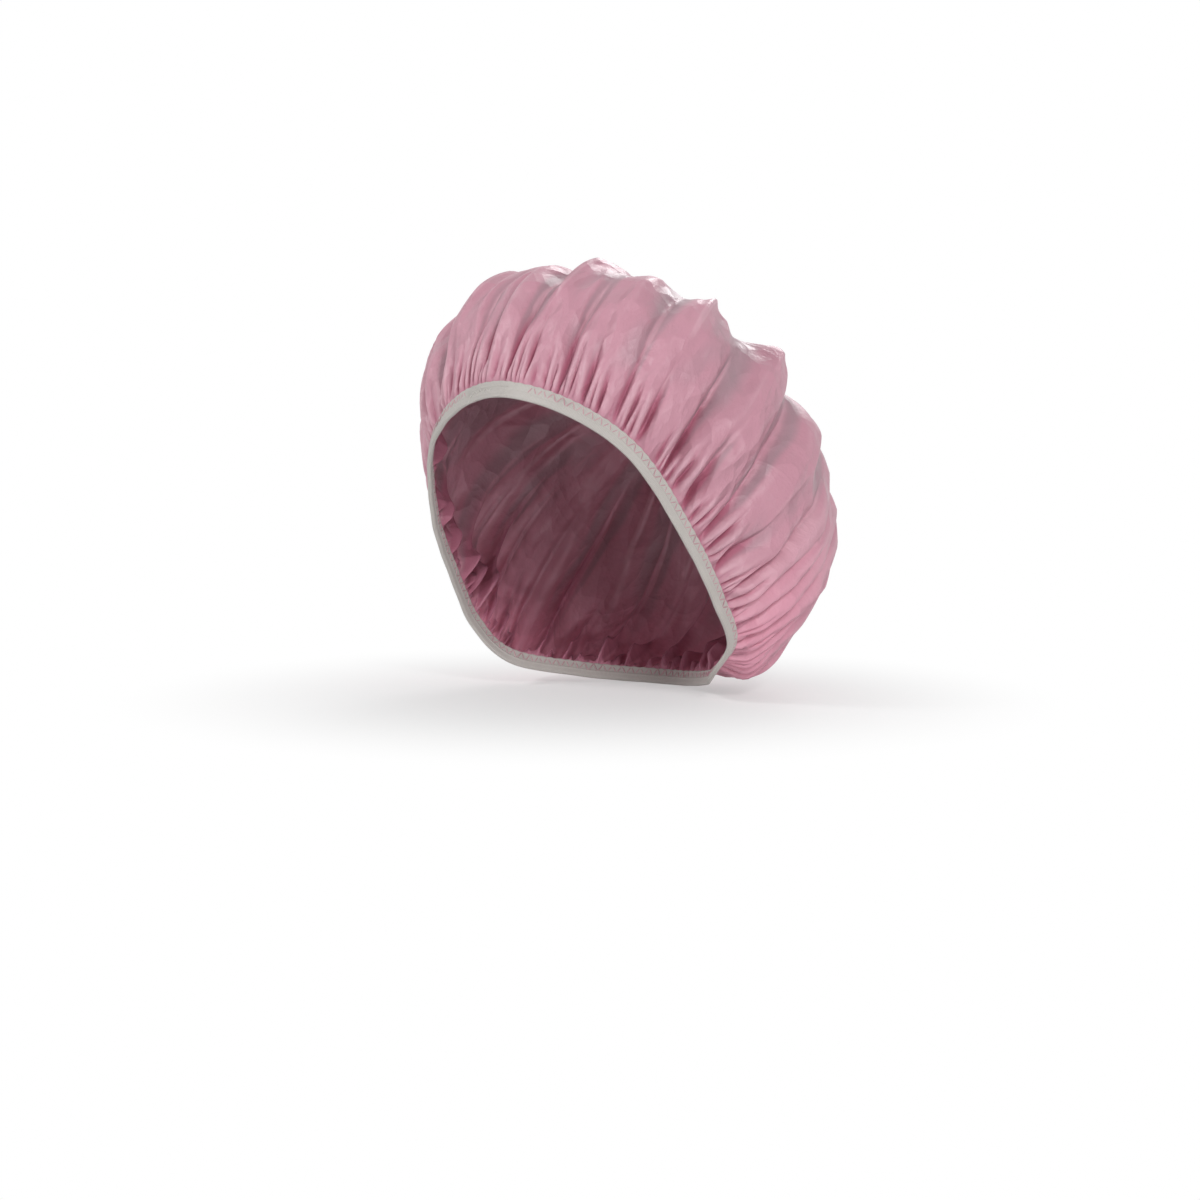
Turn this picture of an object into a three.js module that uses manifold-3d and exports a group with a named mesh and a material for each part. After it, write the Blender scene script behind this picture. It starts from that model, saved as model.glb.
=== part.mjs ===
// A gathered shower cap in the shape that it takes on a head: a round sheet of thin film, drawn in
// by a fold-over elastic that is zigzag-sewn round its edge and lapped at the forehead.
// Millimetres, +Z up, the wearer looks along -Y. The origin is the middle of the head opening.
import * as THREE from "three";
import { mergeVertices } from "three/addons/utils/BufferGeometryUtils.js";
import Module from "manifold-3d";

const wasm = await Module();
wasm.setup();

// The elastic's centreline over the wearer's left half of the head. The right half mirrors it.
const OPENING = {
  hairline: new THREE.Vector3(0, -73.5, 76.5),
  foreheadSide: new THREE.Vector3(31, -65, 69),
  temple: new THREE.Vector3(59, -49, 48),
  earFront: new THREE.Vector3(75, -25, 8),
  earTop: new THREE.Vector3(79, 0, -28),
  earLobe: new THREE.Vector3(78, 14, -49),
  earBack: new THREE.Vector3(64, 22, -65),
  neckSide: new THREE.Vector3(38, 51, -74),
  nape: new THREE.Vector3(0, 68, -77),
};
const STEPS_PER_SPAN = 5; // stations between two neighbouring points of the opening

// The head under the elastic, an ellipsoid that only sets which way the elastic's face turns.
const HEAD_CENTRE = new THREE.Vector3(0, 7, 12);
const HEAD_HALF = new THREE.Vector3(78, 90, 150);

// Fold-over elastic
const BAND_WIDTH = 8; // folded
const LEAF_THICKNESS = 0.7;
const FOLD_ROUND = 0.6; // chamfer that stands for the round of the fold
const LAP_LENGTH = 20; // the sewn-over end at the splice
const LAP_RAMP = 7; // the length in which the lapping end climbs on to the other
const LAP_SKEW = 1; // how far the lapping end slips towards the face
const SPLICE_GAP = 0.3; // between the two ends under the lap
const SEAT_GAP = 0.3; // between pieces that touch on the real cap

// Film
const FILM_THICKNESS = 0.2;
const FOLD_CLEARANCE = 2.3; // from the film's edge to the inside of the fold
const MOUTH_LIP = 1; // how far the film runs straight out of the fold

// The puffed crown: a rounded body about its own centre, tilted as the opening is
const CROWN_CENTRE = new THREE.Vector3(0, 36.5, 21);
const CROWN_TILT = THREE.MathUtils.degToRad(47); // of the opening's plane from level
const CROWN_HALF_WIDTH = 103;
const CROWN_FRONT_REACH = 129.5; // from the centre, along the opening's plane
const CROWN_NAPE_REACH = 111;
const CROWN_DEPTH = 76.5; // from the centre, away from the face
const CROWN_UNDER = 70; // from the centre, towards the face
const CROWN_SQUARENESS = 2.4; // 2 is an ellipsoid
const RING_COUNT = 5; // rings of the film between the sheet's middle and the elastic
const RING_CROWDING = 1.5; // 1 spaces them evenly, more crowds them near the elastic
const BILLOW_START = 0.6; // place where the film starts to turn in, 0 at the middle, 1 at the elastic
const RING_PROUD = 1.2; // the rings stand out by this, so that the flats between them lie evenly

// Its folds, with a crease at each second station. Two folds join into a puff, and two puffs into a swell.
const FOLD_DEPTH = 10; // crest to crease, at its deepest
const FOLD_CREST = 0.45; // share of the depth that a fold stands out by. The crease has the rest.
const FOLD_START = 0.6; // place where a fold fades out, on the mean
const FOLD_START_RANGE = 0.15; // how much nearer or farther some folds do
const FOLD_LEAN = 0.25; // how far a fold falls over, per height
const PUFF_DEPTH = 7;
const SWELL_DEPTH = 5;
const RIDGE_STAND = 0.7; // share of its depth that a puff's or a swell's ridge stands out by
const RIDGE_WIDTH = 0.75; // less makes the ridges narrower
const NAPE_BAG = 9; // how far the film bags out below and behind each ear
const BAG_FROM_NAPE = 0.11; // share of the opening from the nape to a bag's middle
const BAG_SPREAD = 0.04; // half width of a bag, as such a share
const UNEVENNESS = 0.55; // share by which neighbouring folds differ in depth
const SLIGHTEST = 0.15; // share of the depth that the slightest fold has
const DEEPEST = 1.5;
const GOLDEN_ANGLE = Math.PI * (3 - Math.sqrt(5)); // turns the unevenness of folds, puffs and swells apart

// Seam threads
const THREAD_DIAMETER = 0.5;
const STITCH_LENGTH = 2.5; // from one leg of the zigzag to the next
const STITCH_WIDTH = 3;
const STITCH_TURN = 0.3; // clear width between two legs where the thread turns
const SEAM_FROM_EDGE = 0.9; // from the elastic's crown edge to the zigzag
const TACK_LENGTH = 2; // the same on the splice
const TACK_WIDTH = 1.4;

const slotWidth = FILM_THICKNESS + 2 * SEAT_GAP;
const bandThickness = slotWidth + 2 * LEAF_THICKNESS;
const foldFloor = LEAF_THICKNESS - BAND_WIDTH / 2;

// The stations: one frame on the elastic at each, with its outward and crownward directions
function mirrored(point) {
  return new THREE.Vector3(-point.x, point.y, point.z);
}

function openingCurve() {
  const left = Object.values(OPENING);
  const right = left.slice(1, -1).reverse().map(mirrored);
  return new THREE.CatmullRomCurve3([...left, ...right], true, "centripetal");
}

function headNormal(point) {
  return point.clone().sub(HEAD_CENTRE).divide(HEAD_HALF).divide(HEAD_HALF).normalize();
}

const opening = openingCurve();
const stationCount = opening.points.length * STEPS_PER_SPAN;

function stationAt(index) {
  const share = index / stationCount;
  const middle = opening.getPoint(share);
  const along = opening.getTangent(share);
  const outward = headNormal(middle).projectOnPlane(along).normalize();
  const crownward = new THREE.Vector3().crossVectors(outward, along);
  return { middle, along, outward, crownward };
}

const stations = Array.from({ length: stationCount }, (_, index) => stationAt(index));

// A point on the elastic at a station: out is across its thickness, up is across its width
function atStation(index, out, up) {
  const { middle, outward, crownward } = stations[(index + stationCount) % stationCount];
  return middle.clone().addScaledVector(outward, out).addScaledVector(crownward, up);
}

// Lengths along the stations, so that stitches and the lap can be placed in millimetres
const reached = [0];
for (let index = 0; index < stationCount; index += 1) {
  const step = atStation(index, 0, 0).distanceTo(atStation(index + 1, 0, 0));
  reached.push(reached[index] + step);
}
const openingLength = reached[stationCount];

// A point on the elastic at a length from the hairline, on the same flats as the stations make
function atLength(length, out, up) {
  const turned = THREE.MathUtils.euclideanModulo(length, openingLength);
  const index = Math.min(reached.findLastIndex((start) => start <= turned), stationCount - 1);
  const share = (turned - reached[index]) / (reached[index + 1] - reached[index]);
  return atStation(index, out, up).lerp(atStation(index + 1, out, up), share);
}

// Skins: rings of points joined by quads, each split along its shorter diagonal, and flat caps
function wallTriangles(rings) {
  const ringSize = rings[0].length;
  const triangles = [];
  for (let ring = 0; ring < rings.length - 1; ring += 1) {
    const [from, to] = rings.slice(ring, ring + 2);
    for (let side = 0; side < ringSize; side += 1) {
      const next = (side + 1) % ringSize;
      const [a, b] = [side, next].map((corner) => ring * ringSize + corner);
      const [c, d] = [a + ringSize, b + ringSize];
      const forward = from[side].distanceTo(to[next]) < from[next].distanceTo(to[side]);
      triangles.push(...(forward ? [a, d, b, a, c, d] : [a, c, b, b, c, d]));
    }
  }
  return triangles;
}

function geometryOf(points, triangles) {
  const geometry = new THREE.BufferGeometry().setFromPoints(points);
  geometry.setIndex(triangles);
  geometry.computeVertexNormals();
  return geometry;
}

function cappedSkin(rings, capTriangles) {
  const ringSize = rings[0].length;
  const last = (rings.length - 1) * ringSize;
  const triangles = wallTriangles(rings);
  for (const [a, b, c] of capTriangles) {
    triangles.push(a, b, c, last + a, last + c, last + b);
  }
  return geometryOf(rings.flat(), triangles);
}

// The other side of a sheet: each point moves in until the faces round it are the thickness away
function otherSide(points, triangles, thickness) {
  const { normal } = geometryOf(points, triangles).attributes;
  const normals = points.map((_, index) => new THREE.Vector3().fromBufferAttribute(normal, index));
  const leans = points.map(() => []);
  for (let first = 0; first < triangles.length; first += 3) {
    const corners = triangles.slice(first, first + 3);
    const face = new THREE.Triangle(...corners.map((corner) => points[corner]));
    const facing = face.getNormal(new THREE.Vector3());
    corners.forEach((corner) => leans[corner].push(facing.dot(normals[corner])));
  }
  return points.map((point, index) => {
    const lean = leans[index].reduce((sum, value) => sum + value, 0) / leans[index].length;
    return point.clone().addScaledVector(normals[index], -thickness / lean);
  });
}

// Both sides of a sheet, by the same triangles, joined round its edge
function sheetSkin(outside, inside, triangles, edge) {
  const under = outside.length;
  const skin = [...triangles];
  for (let first = 0; first < triangles.length; first += 3) {
    const [a, b, c] = triangles.slice(first, first + 3);
    skin.push(under + a, under + c, under + b);
  }
  edge.forEach((corner, side) => {
    const next = edge[(side + 1) % edge.length];
    skin.push(corner, under + next, next, corner, under + corner, under + next);
  });
  return geometryOf([...outside, ...inside], skin);
}

function solidOf(geometry) {
  const bare = geometry.clone();
  bare.deleteAttribute("normal");
  const merged = mergeVertices(bare);
  return new wasm.Manifold(
    new wasm.Mesh({
      numProp: 3,
      vertProperties: merged.attributes.position.array,
      triVerts: new Uint32Array(merged.index.array),
    }),
  );
}

function geometryOfSolid(solid) {
  const { vertProperties, triVerts } = solid.getMesh();
  const geometry = new THREE.BufferGeometry();
  geometry.setAttribute("position", new THREE.BufferAttribute(vertProperties, 3));
  geometry.setIndex(new THREE.BufferAttribute(triVerts, 1));
  geometry.computeVertexNormals();
  return geometry;
}

// Elastic: one strip folded over the film's edge, with its outer leaf carried on as the lap
function foldedSection() {
  const half = BAND_WIDTH / 2;
  const face = bandThickness / 2;
  const slot = slotWidth / 2;
  const round = Math.min(FOLD_ROUND, LEAF_THICKNESS);
  return [
    [face, round - half],
    [face, half],
    [slot, half],
    [slot, foldFloor],
    [-slot, foldFloor],
    [-slot, half],
    [-face, half],
    [-face, round - half],
    [round - face, -half],
    [face - round, -half],
  ].map(([out, up]) => new THREE.Vector2(out, up));
}

function sectionCaps(section) {
  return THREE.ShapeUtils.triangulateShape(section, []);
}

// Lengths at which a strip from start to end has a section: both ends and each station between
function stripLengths(start, end) {
  const between = [];
  for (let turn = -1; turn <= 1; turn += 1) {
    const starts = reached.slice(0, -1).map((length) => length + turn * openingLength);
    between.push(...starts.filter((length) => length > start && length < end));
  }
  return [start, ...between, end];
}

function foldedStrip() {
  const section = foldedSection();
  const lengths = stripLengths(0, openingLength - SPLICE_GAP);
  const rings = lengths.map((length) => section.map(({ x, y }) => atLength(length, x, y)));
  return cappedSkin(rings, sectionCaps(section));
}

// The lap lies on the other end's outer leaf, climbs down its ramp and ends inside its own leaf
function lapTab() {
  const half = BAND_WIDTH / 2;
  const face = bandThickness / 2;
  const sink = LEAF_THICKNESS / 4;
  const top = face + SEAT_GAP + LEAF_THICKNESS;
  const lengths = [...stripLengths(-LAP_LENGTH, 0), ...stripLengths(0, 2 * LAP_RAMP).slice(1)];
  const rings = lengths.map((length) => {
    const down = THREE.MathUtils.smoothstep(length, 0, LAP_RAMP);
    const slip = LAP_SKEW * THREE.MathUtils.clamp(-length / LAP_LENGTH, 0, 1);
    const outer = THREE.MathUtils.lerp(top, face - sink, down);
    const inner = THREE.MathUtils.lerp(top - LEAF_THICKNESS, face - LEAF_THICKNESS + sink, down);
    const edge = half - sink * down;
    const corners = [[outer, -edge], [outer, edge], [inner, edge], [inner, -edge]];
    return corners.map(([out, up]) => atLength(length, out, up - slip));
  });
  return cappedSkin(rings, [[0, 1, 2], [0, 2, 3]]);
}

function elasticBand() {
  return geometryOfSolid(solidOf(foldedStrip()).add(solidOf(lapTab())));
}

// Film: the crown's shape in a direction from its centre, and its gathers
const towardsHairline = new THREE.Vector3(0, -Math.cos(CROWN_TILT), Math.sin(CROWN_TILT));
const towardsCrown = new THREE.Vector3(0, Math.sin(CROWN_TILT), Math.cos(CROWN_TILT));

function crownRadius(direction) {
  const front = direction.dot(towardsHairline);
  const high = direction.dot(towardsCrown);
  const shares = [
    direction.x / CROWN_HALF_WIDTH,
    front / (front > 0 ? CROWN_FRONT_REACH : CROWN_NAPE_REACH),
    high / (high > 0 ? CROWN_DEPTH : CROWN_UNDER),
  ];
  const sum = shares.reduce((total, share) => total + Math.abs(share) ** CROWN_SQUARENESS, 0);
  return sum ** (-1 / CROWN_SQUARENESS);
}

function turnTowards(from, to, share) {
  const angle = from.angleTo(to);
  const start = from.clone().multiplyScalar(Math.sin((1 - share) * angle));
  return start.addScaledVector(to, Math.sin(share * angle)).divideScalar(Math.sin(angle));
}

// Places of the film's rings, from the sheet's middle at 0 to the elastic at 1
const ringPlaces = Array.from({ length: RING_COUNT }, (_, ring) => {
  return 1 - (1 - (ring + 1) / (RING_COUNT + 1)) ** RING_CROWDING;
});

// A number of waves round the opening, each kind turned from the others
function wave(index, count, kind) {
  return Math.sin((2 * Math.PI * count * index) / stationCount + GOLDEN_ANGLE * kind);
}

// How much deeper or slighter a fold is than the others, by where it is round the opening
function uneven(index, count, kind) {
  const broad = UNEVENNESS * wave(index, count, kind);
  const brief = (1 - UNEVENNESS) * wave(index, count + 4, kind + 1);
  return THREE.MathUtils.clamp(1 + broad + brief, SLIGHTEST, DEEPEST);
}

// Where the stations are close, as round the ear, the folds are narrow and so not as deep
function foldRoom(index) {
  const width = atStation(index - 1, 0, 0).distanceTo(atStation(index + 1, 0, 0));
  return Math.min(1, (width * stationCount) / (2 * openingLength));
}

// Narrow ridges, one each so many stations, with the film drawn flat between them, about their mean
function tents(index, period) {
  return RIDGE_STAND - Math.abs(Math.cos((Math.PI * index) / period)) ** RIDGE_WIDTH;
}

// How far the film stands in or out at a station
function foldHeight(index, place) {
  const rise = (from, to) => THREE.MathUtils.smoothstep(place, from, to);
  const fold = (index % 2 ? FOLD_CREST : FOLD_CREST - 1) * foldRoom(index);
  const start = FOLD_START + FOLD_START_RANGE * wave(index, 9, 21);
  const folds = fold * uneven(index, 7, 11) * rise(start, 0.9) * (1 - 0.85 * rise(0.93, 1));
  const puffs = tents(index, 4) * uneven(index, 3, 15) * rise(0.12, 0.5) * (1 - 0.8 * rise(0.7, 0.98));
  const swells = tents(index, 8) * uneven(index, 3, 17) * rise(0.08, 0.4) * (1 - rise(0.6, 0.95));
  const fromBag = Math.abs(index / stationCount - 0.5) - BAG_FROM_NAPE;
  const bag = Math.exp(-((fromBag / BAG_SPREAD) ** 2)) * rise(0.75, 0.92) * (1 - rise(0.95, 1));
  return FOLD_DEPTH * folds + PUFF_DEPTH * puffs + SWELL_DEPTH * swells + NAPE_BAG * bag;
}

function filmPoint(index, place) {
  const mouth = atStation(index, 0, BAND_WIDTH / 2 + MOUTH_LIP).sub(CROWN_CENTRE);
  const direction = turnTowards(towardsCrown, mouth.clone().normalize(), place);
  const turnIn = Math.max(0, (place - BILLOW_START) / (1 - BILLOW_START)) ** 2;
  const radius = THREE.MathUtils.lerp(crownRadius(direction), mouth.length(), turnIn);
  const height = foldHeight(index, place);
  const fall = FOLD_LEAN * height * wave(index, 1, 0);
  const point = direction.multiplyScalar(radius + RING_PROUD + height).add(CROWN_CENTRE);
  return point.addScaledVector(stations[index].along, fall);
}

// Rings from the sheet's middle to its edge inside the fold, and the pole in the middle
function crownFilm() {
  const half = FILM_THICKNESS / 2;
  const tucks = [BAND_WIDTH / 2 + MOUTH_LIP, foldFloor + FOLD_CLEARANCE];
  const ringOf = (pointAt) => stations.map((_, index) => pointAt(index));
  const tuckedAt = (out) => tucks.map((up) => ringOf((index) => atStation(index, out, up)));
  const puffed = ringPlaces.map((place) => ringOf((index) => filmPoint(index, place)));
  const rings = [...puffed, ...tuckedAt(half)];
  const outside = [...rings.flat(), filmPoint(0, 0)];
  const pole = outside.length - 1;
  const triangles = wallTriangles(rings);
  stations.forEach((_, side) => triangles.push(pole, side, (side + 1) % stationCount));
  const inside = otherSide(outside, triangles, FILM_THICKNESS);
  inside.splice(puffed.length * stationCount, tucks.length * stationCount, ...tuckedAt(-half).flat());
  const edge = ringOf((index) => pole - stationCount + index);
  return sheetSkin(outside, inside, triangles, edge);
}

// Threads: a three-sided thread along a squared zigzag on one face of the elastic
const stitchRun = THREAD_DIAMETER + STITCH_TURN;

function zigzag(start, end, { length, width, middle }) {
  const points = [];
  const legs = Math.floor((end - start - stitchRun) / length);
  for (let leg = 0; leg <= legs; leg += 1) {
    const from = start + leg * length;
    const up = middle + (leg % 2 ? width : -width) / 2;
    points.push(new THREE.Vector2(from, up), new THREE.Vector2(from + stitchRun, up));
  }
  return points;
}

// The across direction of the thread at each point of its path, mitred at the corners
function mitres(path) {
  return path.map((point, index) => {
    const before = point.clone().sub(path[Math.max(index - 1, 0)]).normalize();
    const after = path[Math.min(index + 1, path.length - 1)].clone().sub(point).normalize();
    const into = before.lengthSq() ? before : after;
    const out = after.lengthSq() ? after : before;
    const across = new THREE.Vector2(-into.y - out.y, into.x + out.x).normalize();
    return across.divideScalar(across.dot(new THREE.Vector2(-into.y, into.x)));
  });
}

function threadOn(path, level, facing) {
  const half = THREAD_DIAMETER / 2;
  const across = mitres(path);
  const rings = path.map((point, index) => {
    const side = across[index].clone().multiplyScalar(half);
    const ridge = atLength(point.x, level + facing * THREAD_DIAMETER, point.y);
    const left = atLength(point.x + side.x, level, point.y + side.y);
    const right = atLength(point.x - side.x, level, point.y - side.y);
    return facing > 0 ? [ridge, left, right] : [ridge, right, left];
  });
  return cappedSkin(rings, [[0, 1, 2]]);
}

const seamStitch = {
  length: STITCH_LENGTH,
  width: STITCH_WIDTH,
  middle: BAND_WIDTH / 2 - SEAM_FROM_EDGE - STITCH_WIDTH / 2,
};
const tackStitch = { length: TACK_LENGTH, width: TACK_WIDTH, middle: 0 };
const seamPath = zigzag(2 * LAP_RAMP, openingLength - LAP_LENGTH - STITCH_LENGTH, seamStitch);
const tackPath = zigzag(TACK_LENGTH - LAP_LENGTH, -TACK_LENGTH, tackStitch);
const outerLevel = bandThickness / 2 + SEAT_GAP;
const lapLevel = outerLevel + LEAF_THICKNESS + SEAT_GAP;

const filmFinish = { color: 0xd98ea6, roughness: 0.38, metalness: 0 };
const elasticFinish = { color: 0xe4dfda, roughness: 0.85, metalness: 0 };
const threadFinish = { color: 0xd3a3ac, roughness: 0.7, metalness: 0 };
const tackFinish = { color: 0xd8d4cc, roughness: 0.7, metalness: 0 };

function piece(name, geometry, finish) {
  const mesh = new THREE.Mesh(geometry, new THREE.MeshStandardMaterial(finish));
  mesh.name = name;
  return mesh;
}

const cap = new THREE.Group();
cap.name = "shower_cap";
cap.add(
  piece("crown_film", crownFilm(), filmFinish),
  piece("elastic_band", elasticBand(), elasticFinish),
  piece("needle_thread", threadOn(seamPath, outerLevel, 1), threadFinish),
  piece("bobbin_thread", threadOn(seamPath, -outerLevel, -1), threadFinish),
  piece("splice_thread", threadOn(tackPath, lapLevel, 1), tackFinish),
);

export default cap;
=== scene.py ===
import bpy
import numpy as np
from mathutils import Matrix, Vector


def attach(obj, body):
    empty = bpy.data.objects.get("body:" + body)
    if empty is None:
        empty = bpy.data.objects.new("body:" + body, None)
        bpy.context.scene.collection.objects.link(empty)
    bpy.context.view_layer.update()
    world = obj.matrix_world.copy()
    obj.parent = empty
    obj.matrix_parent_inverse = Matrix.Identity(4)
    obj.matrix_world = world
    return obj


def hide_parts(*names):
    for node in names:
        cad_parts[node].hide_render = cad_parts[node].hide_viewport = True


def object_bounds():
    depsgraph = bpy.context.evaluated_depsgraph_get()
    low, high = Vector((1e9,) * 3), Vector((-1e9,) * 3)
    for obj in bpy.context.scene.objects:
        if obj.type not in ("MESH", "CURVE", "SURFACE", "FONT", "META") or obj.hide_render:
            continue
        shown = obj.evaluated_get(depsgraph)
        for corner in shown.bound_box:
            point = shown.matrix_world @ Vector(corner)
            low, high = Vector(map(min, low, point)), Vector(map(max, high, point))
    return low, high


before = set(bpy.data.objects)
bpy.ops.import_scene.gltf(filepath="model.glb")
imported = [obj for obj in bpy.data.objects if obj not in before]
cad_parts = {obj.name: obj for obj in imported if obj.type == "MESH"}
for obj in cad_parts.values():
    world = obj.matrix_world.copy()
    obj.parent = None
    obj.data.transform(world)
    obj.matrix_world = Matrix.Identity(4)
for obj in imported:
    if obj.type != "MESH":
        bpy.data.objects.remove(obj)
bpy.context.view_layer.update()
bpy.ops.object.select_all(action="DESELECT")

# Crown film
# One round sheet of thin pink vinyl, cut flat. The elastic draws its edge in to less than half its
# length, so it leaves the seam in small pleats that join into deep folds and open into the crown.
MM = 0.001
TURN = 2 * np.pi

# The elastic's centreline over its left half, from front to nape. The right half mirrors it.
OPENING_LEFT = MM * np.array(
    [
        (0, -73.5, 76.5),
        (31, -65, 69),
        (59, -49, 48),
        (75, -25, 8),
        (79, 0, -28),
        (78, 14, -49),
        (64, 22, -65),
        (38, 51, -74),
        (0, 68, -77),
    ]
)
OPENING_STEPS = 60  # between two of these points
# The rounded body that the elastic's faces lie along
INSIDE_CENTRE = MM * np.array((0, 7, 12))
INSIDE_HALF = MM * np.array((78, 90, 150))


def opening_line():
    """Points along the closed centreline, on a centripetal Catmull-Rom curve."""
    knots = np.vstack([OPENING_LEFT, (OPENING_LEFT[1:-1] * (-1, 1, 1))[::-1]])
    shares = np.arange(OPENING_STEPS)[:, None] / OPENING_STEPS
    spans = []
    for index in range(len(knots)):
        before, start, end, after = (knots[(index + step) % len(knots)] for step in (-1, 0, 1, 2))
        reach = [
            np.sqrt(np.linalg.norm(b - a)) for a, b in ((before, start), (start, end), (end, after))
        ]
        leaving = (start - before) / reach[0] - (end - before) / (reach[0] + reach[1])
        arriving = (end - start) / reach[1] - (after - start) / (reach[1] + reach[2])
        leave = (leaving + (end - start) / reach[1]) * reach[1]
        arrive = (arriving + (after - end) / reach[2]) * reach[1]
        s2, s3 = shares**2, shares**3
        spans.append(
            (2 * s3 - 3 * s2 + 1) * start
            + (s3 - 2 * s2 + shares) * leave
            + (3 * s2 - 2 * s3) * end
            + (s3 - s2) * arrive
        )
    return np.vstack(spans)


opening = opening_line()
opening = np.vstack([opening, opening[:1]])
reached = np.append(0, np.cumsum(np.linalg.norm(np.diff(opening, axis=0), axis=1)))
OPENING_LENGTH = reached[-1]
FRAME_STEP = 0.002  # share of the loop over which its direction is taken


def part_of_curve(share):
    """How far along the curve's own parameter a share of the loop's length is, from 0 to 1."""
    return np.interp(share, reached / OPENING_LENGTH, np.linspace(0, 1, len(reached)))


def opening_at(share):
    length = np.mod(share, 1) * OPENING_LENGTH
    return np.stack([np.interp(length, reached, opening[:, axis]) for axis in range(3)], -1)


def unit(vectors):
    return vectors / np.linalg.norm(vectors, axis=-1, keepdims=True)


def opening_frame(share):
    """The elastic's middle at a share of the loop, and its along, outward and crownward ways."""
    share = np.asarray(share, float)
    middle = opening_at(share)
    along = unit(opening_at(share + FRAME_STEP) - opening_at(share - FRAME_STEP))
    outward = (middle - INSIDE_CENTRE) / INSIDE_HALF**2
    outward = unit(outward - (outward * along).sum(-1, keepdims=True) * along)
    return middle, along, outward, np.cross(outward, along)


# The puffed crown's mean shape: a rounded body about its own centre, tilted as the opening is
CROWN_CENTRE = MM * np.array((0, 36.5, 21))
CROWN_TILT = np.radians(47)
CROWN_HALF_WIDTH = 103 * MM
CROWN_FRONT_REACH, CROWN_NAPE_REACH = 129.5 * MM, 111 * MM
CROWN_DEPTH, CROWN_UNDER = 76.5 * MM, 70 * MM
CROWN_SQUARENESS = 2.4  # 2 is an ellipsoid
BILLOW_START = 0.6  # place where the film turns in to the elastic
MOUTH = 5 * MM  # from the elastic's middle to where the film runs free
TOWARDS_FRONT = np.array((0, -np.cos(CROWN_TILT), np.sin(CROWN_TILT)))
TOWARDS_CROWN = np.array((0, np.sin(CROWN_TILT), np.cos(CROWN_TILT)))


def crown_radius(direction):
    front, high = direction @ TOWARDS_FRONT, direction @ TOWARDS_CROWN
    shares = (
        direction[..., 0] / CROWN_HALF_WIDTH,
        front / np.where(front > 0, CROWN_FRONT_REACH, CROWN_NAPE_REACH),
        high / np.where(high > 0, CROWN_DEPTH, CROWN_UNDER),
    )
    return sum(np.abs(each) ** CROWN_SQUARENESS for each in shares) ** (-1 / CROWN_SQUARENESS)


def crown_point(share, place):
    """Mean surface of the film, from place 0 at its middle to 1 at the elastic, and the way out."""
    middle, _, _, crownward = opening_frame(share)
    mouth = middle + crownward * MOUTH - CROWN_CENTRE
    mouth_radius = np.linalg.norm(mouth, axis=-1, keepdims=True)
    mouth = mouth / mouth_radius
    angle = np.arccos(np.clip(mouth @ TOWARDS_CROWN, -1, 1))[..., None]
    place = np.asarray(place)[..., None]
    outward = TOWARDS_CROWN * np.sin((1 - place) * angle) + mouth * np.sin(place * angle)
    outward = outward / np.sin(angle)
    turn_in = np.clip((place - BILLOW_START) / (1 - BILLOW_START), 0, None) ** 2
    radius = crown_radius(outward)[..., None] * (1 - turn_in) + mouth_radius * turn_in
    return CROWN_CENTRE + outward * radius, outward


FILM_RADIUS = 230 * MM  # of the sheet as it is cut

# The folds: pleats at the seam join two by two into folds, and these into the crown's puffs
FOLDS = 40  # round the cap, five to each two spans of the opening's curve
PLEAT_DEPTH, TUCK_DEPTH, FOLD_DEPTH = 4.5 * MM, 8 * MM, 12 * MM
PUFF_DEPTH, SWELL_DEPTH = 10 * MM, 5 * MM
FOLD_START, FORWARD_START, FOLD_START_RANGE = 0.42, 0.2, 0.12  # places where the folds fade out
FORWARD_SHALLOW = 0.6  # how much shallower the folds are at the front
PLEAT_REACH, TUCK_AT, TUCK_REACH = 0.05, 0.95, 0.05
FOLD_FULL, FOLD_FADE, FOLD_LOST = 0.85, (0.93, 1), 0.85
PUFF_RISE, PUFF_FADE, PUFF_LOST = (0.12, 0.5), (0.7, 0.98), 0.8
SWELL_RISE, SWELL_FADE = (0.08, 0.4), (0.6, 0.95)
BAG_RISE, BAG_FADE = (0.75, 0.92), (0.95, 1)
SEAM_GIVES, SEAM_REACH = 0.2, 0.02  # share of a pleat left in the seam, and where it is whole
WIDTH_SWAY, WIDTH_JITTER = 0.0025, 0.001  # how far the folds lie off even places
PLEAT_DRIFT, TUCK_DRIFT = 0.9, 0.8  # radians that pleats and tucks lie off the folds
BROAD, BRIEF, DEEPEST = 0.55, 0.45, 1.5  # how neighbouring folds differ in depth
SLIGHTEST, FOLD_SLIGHTEST = 0.15, 0.6
NAPE_BAG, BAG_FROM_NAPE, BAG_SPREAD = 9 * MM, 0.11, 0.04  # below and behind each ear
FOLD_LEAN = 0.25  # how far a fold falls over, per height
CREASE_ROUND = 0.06  # 0 is a knife crease between two folds
CREST_FLAT = 0.75  # less makes the folds flatter
SCALLOP_MEAN = 0.7
ROOM_POWER = 0.25
GOLDEN_ANGLE = np.pi * (3 - np.sqrt(5))  # turns the waves apart
LENGTHS = np.concatenate([reached - OPENING_LENGTH, reached[1:], reached[1:] + OPENING_LENGTH])


def ease(value, low, high):
    share = np.clip((value - low) / (high - low), 0, 1)
    return share * share * (3 - 2 * share)


def wave(curve, count, index):
    """So many waves round the opening, each index turned from the others."""
    return np.sin(TURN * count * curve + GOLDEN_ANGLE * index)


def uneven(curve, count, index, least=SLIGHTEST):
    both = BROAD * wave(curve, count, index) + BRIEF * wave(curve, count + 4, index + 1)
    return np.clip(1 + both, least, DEEPEST)


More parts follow.
